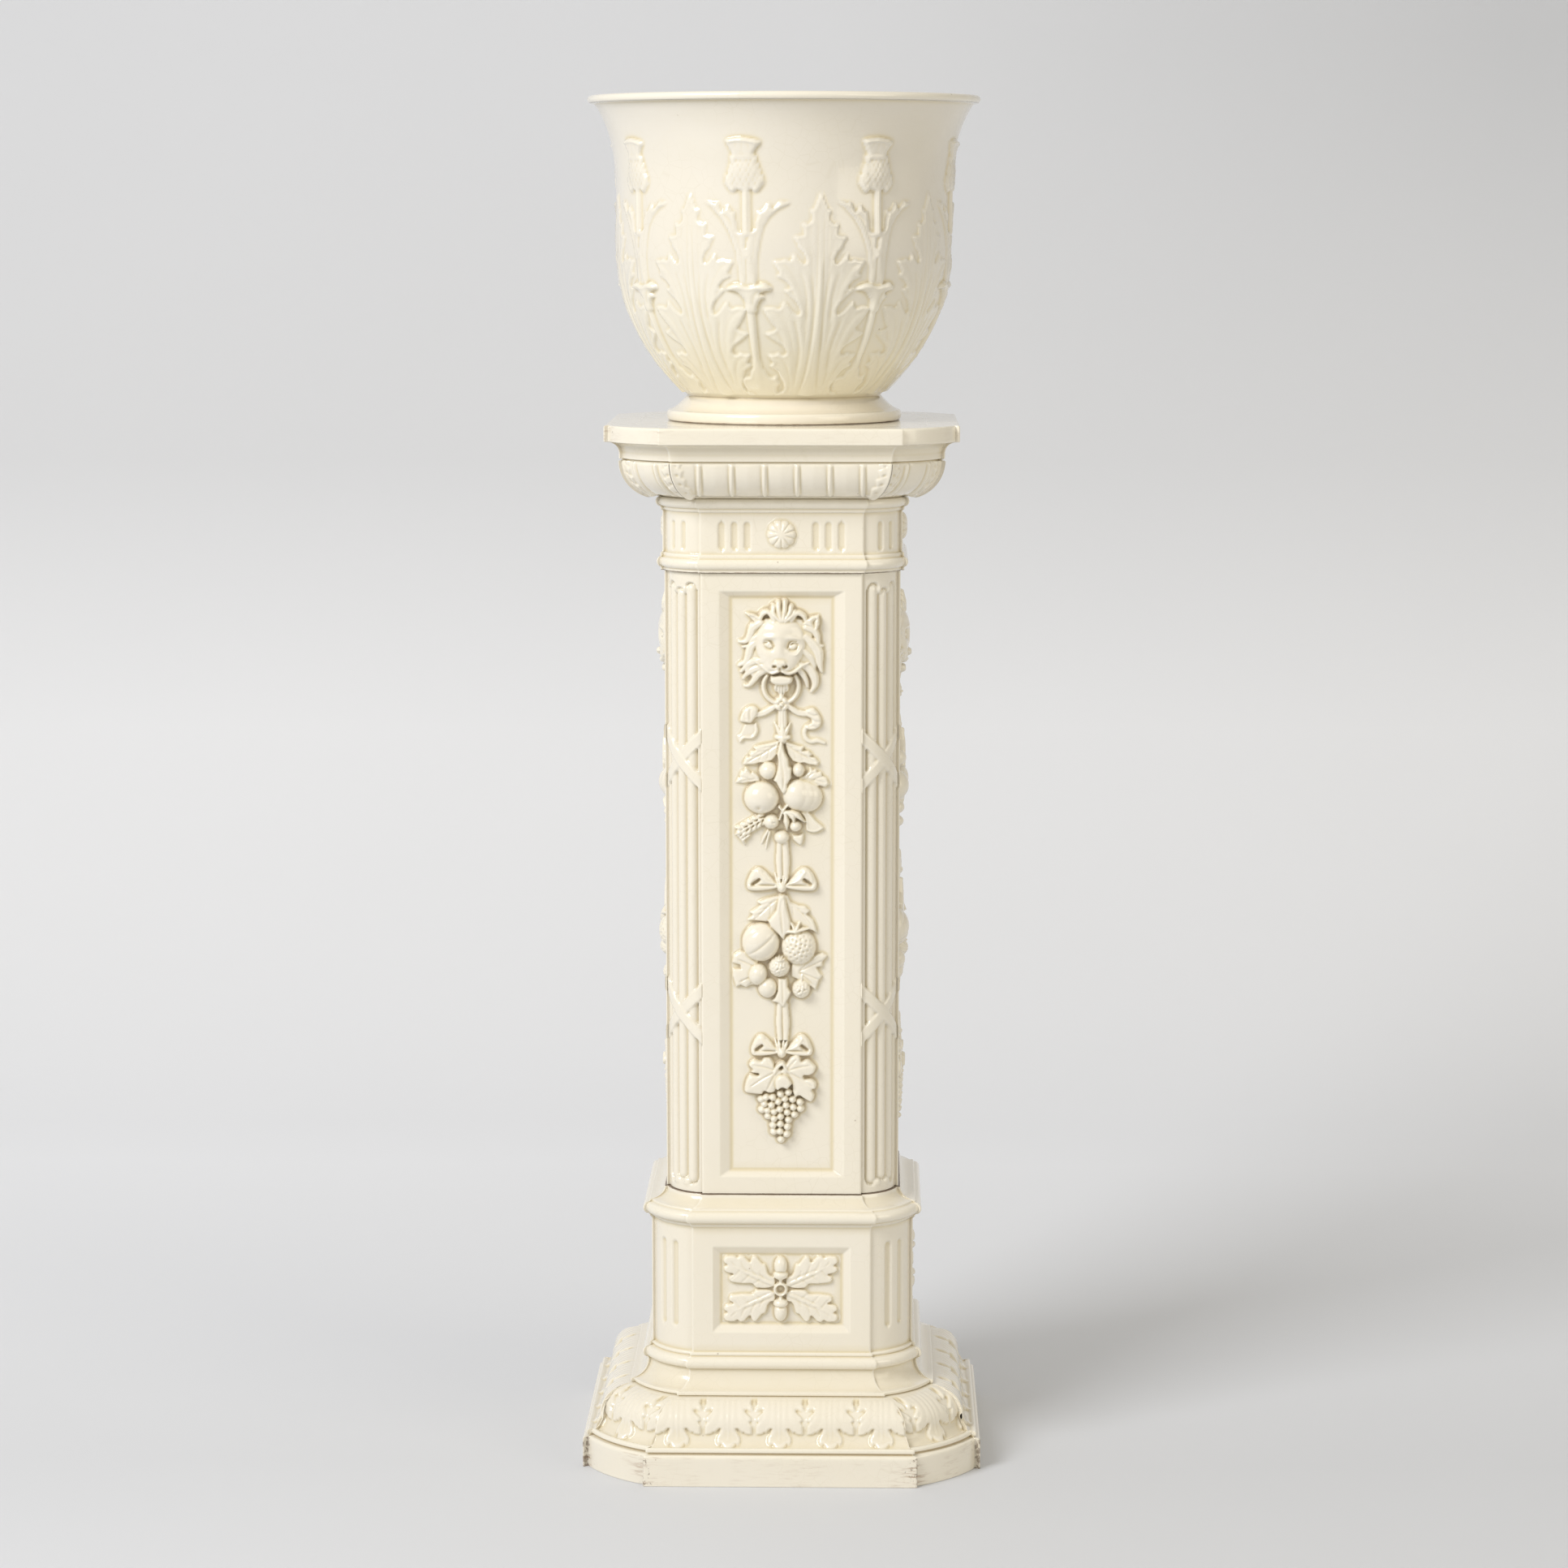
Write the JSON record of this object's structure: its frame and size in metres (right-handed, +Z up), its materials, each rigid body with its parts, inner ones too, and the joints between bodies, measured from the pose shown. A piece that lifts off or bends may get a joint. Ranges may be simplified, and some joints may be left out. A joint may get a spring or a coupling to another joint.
{
  "type": "jardiniere on stand",
  "caption": "Bell-shaped jardiniere with thistle and leaf relief on a tall hollow pedestal of stacked base, shaft and capital, in cream glazed earthenware with fruit festoons.",
  "frame": {"origin": "centre of the base's underside, on the floor", "axes": "+Z up, -Y out of the front face, +X to the right of someone who looks at the front"},
  "size_m": [0.337, 0.337, 1.1507],
  "materials": {
    "stand_glaze": "cream lead glaze over white earthenware, glossy, yellower where it pools",
    "sprig_glaze": "the same cream glaze over press-moulded relief",
    "jardiniere_glaze": "cream lead glaze, a little yellower towards the waist"
  },
  "bodies": {
    "base": {"base": "stand_glaze", "oak_relief_front": "sprig_glaze", "oak_relief_right": "sprig_glaze", "oak_relief_back": "sprig_glaze", "oak_relief_left": "sprig_glaze"},
    "shaft": {"shaft": "stand_glaze", "lion_mask_front": "sprig_glaze", "lion_mask_right": "sprig_glaze", "lion_mask_back": "sprig_glaze", "lion_mask_left": "sprig_glaze", "upper_festoon_front": "sprig_glaze", "upper_festoon_right": "sprig_glaze", "upper_festoon_back": "sprig_glaze", "upper_festoon_left": "sprig_glaze", "lower_festoon_front": "sprig_glaze", "lower_festoon_right": "sprig_glaze", "lower_festoon_back": "sprig_glaze", "lower_festoon_left": "sprig_glaze", "grape_festoon_front": "sprig_glaze", "grape_festoon_right": "sprig_glaze", "grape_festoon_back": "sprig_glaze", "grape_festoon_left": "sprig_glaze"},
    "capital": {"capital": "stand_glaze", "rosette_front": "sprig_glaze", "rosette_right": "sprig_glaze", "rosette_back": "sprig_glaze", "rosette_left": "sprig_glaze"},
    "jardiniere": {"jardiniere": "jardiniere_glaze"}
  },
  "joints": [
    {"name": "shaft_lift", "type": "slide", "parent": "base", "child": "shaft", "axis": [0, 0, 1], "range_m": [0, 0.25]},
    {"name": "capital_lift", "type": "slide", "parent": "shaft", "child": "capital", "axis": [0, 0, 1], "range_m": [0, 0.25]},
    {"name": "jardiniere_lift", "type": "slide", "parent": "capital", "child": "jardiniere", "axis": [0, 0, 1], "range_m": [0, 0.35]}
  ]
}
